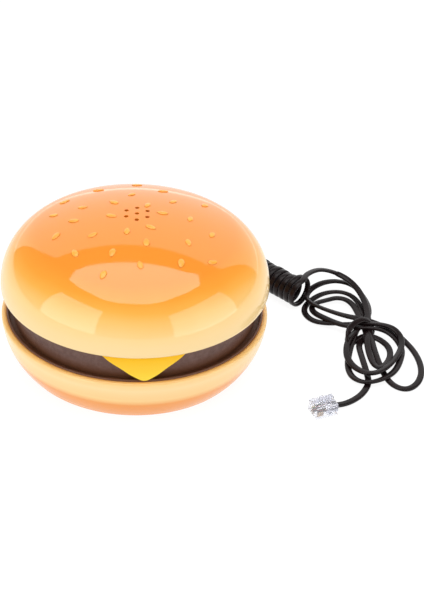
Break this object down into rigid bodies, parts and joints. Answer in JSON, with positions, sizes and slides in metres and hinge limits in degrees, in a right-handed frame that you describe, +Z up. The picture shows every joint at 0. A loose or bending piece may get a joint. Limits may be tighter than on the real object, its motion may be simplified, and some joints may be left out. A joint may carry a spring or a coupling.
{
  "type": "novelty shaped telephone",
  "caption": "Corded telephone shaped like a closed cheeseburger; the upper half hinges open over a keypad, and a part-coiled line cord ends in a modular plug.",
  "frame": {"origin": "on the table under the middle of the telephone, on the round shells' common axis", "axes": "+Z up, -Y towards the front, where the cheese's corner hangs down, +Y towards the lid's hinge"},
  "size_m": [0.2249, 0.1843, 0.0847],
  "materials": {
    "bun_upper": "gloss",
    "bun_lower": "semi-gloss",
    "patty_brown": "fine grain",
    "cheese_yellow": "semi-gloss",
    "key_plastic": "satin",
    "seed": "semi-gloss",
    "ear_cover_plastic": "satin",
    "silicone": "matte",
    "circuit_board": "satin",
    "black_plastic": "satin",
    "black_rubber": "matte",
    "bright_can": "satin",
    "steel": "zinc plated",
    "wire_skin": "satin",
    "cord_skin": "satin vinyl",
    "clear_plastic": "clear",
    "gold_contact": "polished"
  },
  "bodies": {
    "base": {"bottom_bun": "bun_lower", "patty": "patty_brown", "cheese_slice": "cheese_yellow", "key_membrane": "silicone", "main_board": "circuit_board", "board_screws": "steel", "hook_switch": "black_plastic", "microphone": "bright_can", "mic_boot": "black_rubber", "ringer_switch": "black_plastic", "tone_switch": "black_plastic", "rubber_feet": "black_rubber", "case_screws": "steel", "cord_grommet": "black_rubber", "hinge_pin": "steel", "lid_bumpers": "black_rubber", "line_wires": "wire_skin", "cord_lead": "cord_skin", "cord_coil": "cord_skin", "cord_link": "cord_skin", "cord_hank": "cord_skin", "cord_tail": "cord_skin", "plug_body": "clear_plastic", "plug_contacts": "gold_contact"},
    "lid": {"top_bun": "bun_upper", "sesame_seeds": "seed", "ear_cover": "ear_cover_plastic", "earpiece": "black_plastic", "earpiece_gasket": "black_rubber", "ringer": "black_plastic", "ringer_retainer": "black_plastic", "ringer_screws": "steel", "lid_screws": "steel", "lid_wires": "wire_skin"},
    "key_1": {"key_1": "key_plastic"},
    "key_2": {"key_2": "key_plastic"},
    "key_3": {"key_3": "key_plastic"},
    "key_4": {"key_4": "key_plastic"},
    "key_5": {"key_5": "key_plastic"},
    "key_6": {"key_6": "key_plastic"},
    "key_7": {"key_7": "key_plastic"},
    "key_8": {"key_8": "key_plastic"},
    "key_9": {"key_9": "key_plastic"},
    "key_star": {"key_star": "key_plastic"},
    "key_0": {"key_0": "key_plastic"},
    "key_hash": {"key_hash": "key_plastic"},
    "key_redial": {"key_redial": "key_plastic"},
    "key_flash": {"key_flash": "key_plastic"},
    "hook_plunger": {"hook_plunger": "black_plastic"},
    "ringer_knob": {"ringer_knob": "black_plastic"},
    "tone_knob": {"tone_knob": "black_plastic"},
    "plug_latch": {"plug_latch": "clear_plastic"}
  },
  "joints": [
    {"name": "lid_hinge", "type": "hinge", "parent": "base", "child": "lid", "pos_m": [0, 0.068, 0.038], "axis": [-1, 0, 0], "range_deg": [0, 145]},
    {"name": "key_1_press", "type": "slide", "parent": "base", "child": "key_1", "axis": [0, 0, -1], "range_m": [0, 0.0008], "stiffness_N_per_m": 400, "springref_m": -0.0004},
    {"name": "key_2_press", "type": "slide", "parent": "base", "child": "key_2", "axis": [0, 0, -1], "range_m": [0, 0.0008], "stiffness_N_per_m": 400, "springref_m": -0.0004},
    {"name": "key_3_press", "type": "slide", "parent": "base", "child": "key_3", "axis": [0, 0, -1], "range_m": [0, 0.0008], "stiffness_N_per_m": 400, "springref_m": -0.0004},
    {"name": "key_4_press", "type": "slide", "parent": "base", "child": "key_4", "axis": [0, 0, -1], "range_m": [0, 0.0008], "stiffness_N_per_m": 400, "springref_m": -0.0004},
    {"name": "key_5_press", "type": "slide", "parent": "base", "child": "key_5", "axis": [0, 0, -1], "range_m": [0, 0.0008], "stiffness_N_per_m": 400, "springref_m": -0.0004},
    {"name": "key_6_press", "type": "slide", "parent": "base", "child": "key_6", "axis": [0, 0, -1], "range_m": [0, 0.0008], "stiffness_N_per_m": 400, "springref_m": -0.0004},
    {"name": "key_7_press", "type": "slide", "parent": "base", "child": "key_7", "axis": [0, 0, -1], "range_m": [0, 0.0008], "stiffness_N_per_m": 400, "springref_m": -0.0004},
    {"name": "key_8_press", "type": "slide", "parent": "base", "child": "key_8", "axis": [0, 0, -1], "range_m": [0, 0.0008], "stiffness_N_per_m": 400, "springref_m": -0.0004},
    {"name": "key_9_press", "type": "slide", "parent": "base", "child": "key_9", "axis": [0, 0, -1], "range_m": [0, 0.0008], "stiffness_N_per_m": 400, "springref_m": -0.0004},
    {"name": "key_star_press", "type": "slide", "parent": "base", "child": "key_star", "axis": [0, 0, -1], "range_m": [0, 0.0008], "stiffness_N_per_m": 400, "springref_m": -0.0004},
    {"name": "key_0_press", "type": "slide", "parent": "base", "child": "key_0", "axis": [0, 0, -1], "range_m": [0, 0.0008], "stiffness_N_per_m": 400, "springref_m": -0.0004},
    {"name": "key_hash_press", "type": "slide", "parent": "base", "child": "key_hash", "axis": [0, 0, -1], "range_m": [0, 0.0008], "stiffness_N_per_m": 400, "springref_m": -0.0004},
    {"name": "key_redial_press", "type": "slide", "parent": "base", "child": "key_redial", "axis": [0, 0, -1], "range_m": [0, 0.0008], "stiffness_N_per_m": 400, "springref_m": -0.0004},
    {"name": "key_flash_press", "type": "slide", "parent": "base", "child": "key_flash", "axis": [0, 0, -1], "range_m": [0, 0.0008], "stiffness_N_per_m": 400, "springref_m": -0.0004},
    {"name": "plunger_slide", "type": "slide", "parent": "base", "child": "hook_plunger", "axis": [0, 0, 1], "range_m": [0, 0.0025]},
    {"name": "ringer_slide", "type": "slide", "parent": "base", "child": "ringer_knob", "axis": [1, 0, 0], "range_m": [0, 0.004]},
    {"name": "tone_slide", "type": "slide", "parent": "base", "child": "tone_knob", "axis": [1, 0, 0], "range_m": [0, 0.004]},
    {"name": "latch_flex", "type": "hinge", "parent": "base", "child": "plug_latch", "pos_m": [0.08729, -0.06191, 0.0072], "axis": [-0.29, 0.957, 0], "range_deg": [0, 8], "stiffness_Nm_per_rad": 0.02, "springref_deg": -2.86}
  ],
  "couplings": [
    {"joint": "plunger_slide", "follows": "lid_hinge", "m_per_rad": 0.000985}
  ]
}
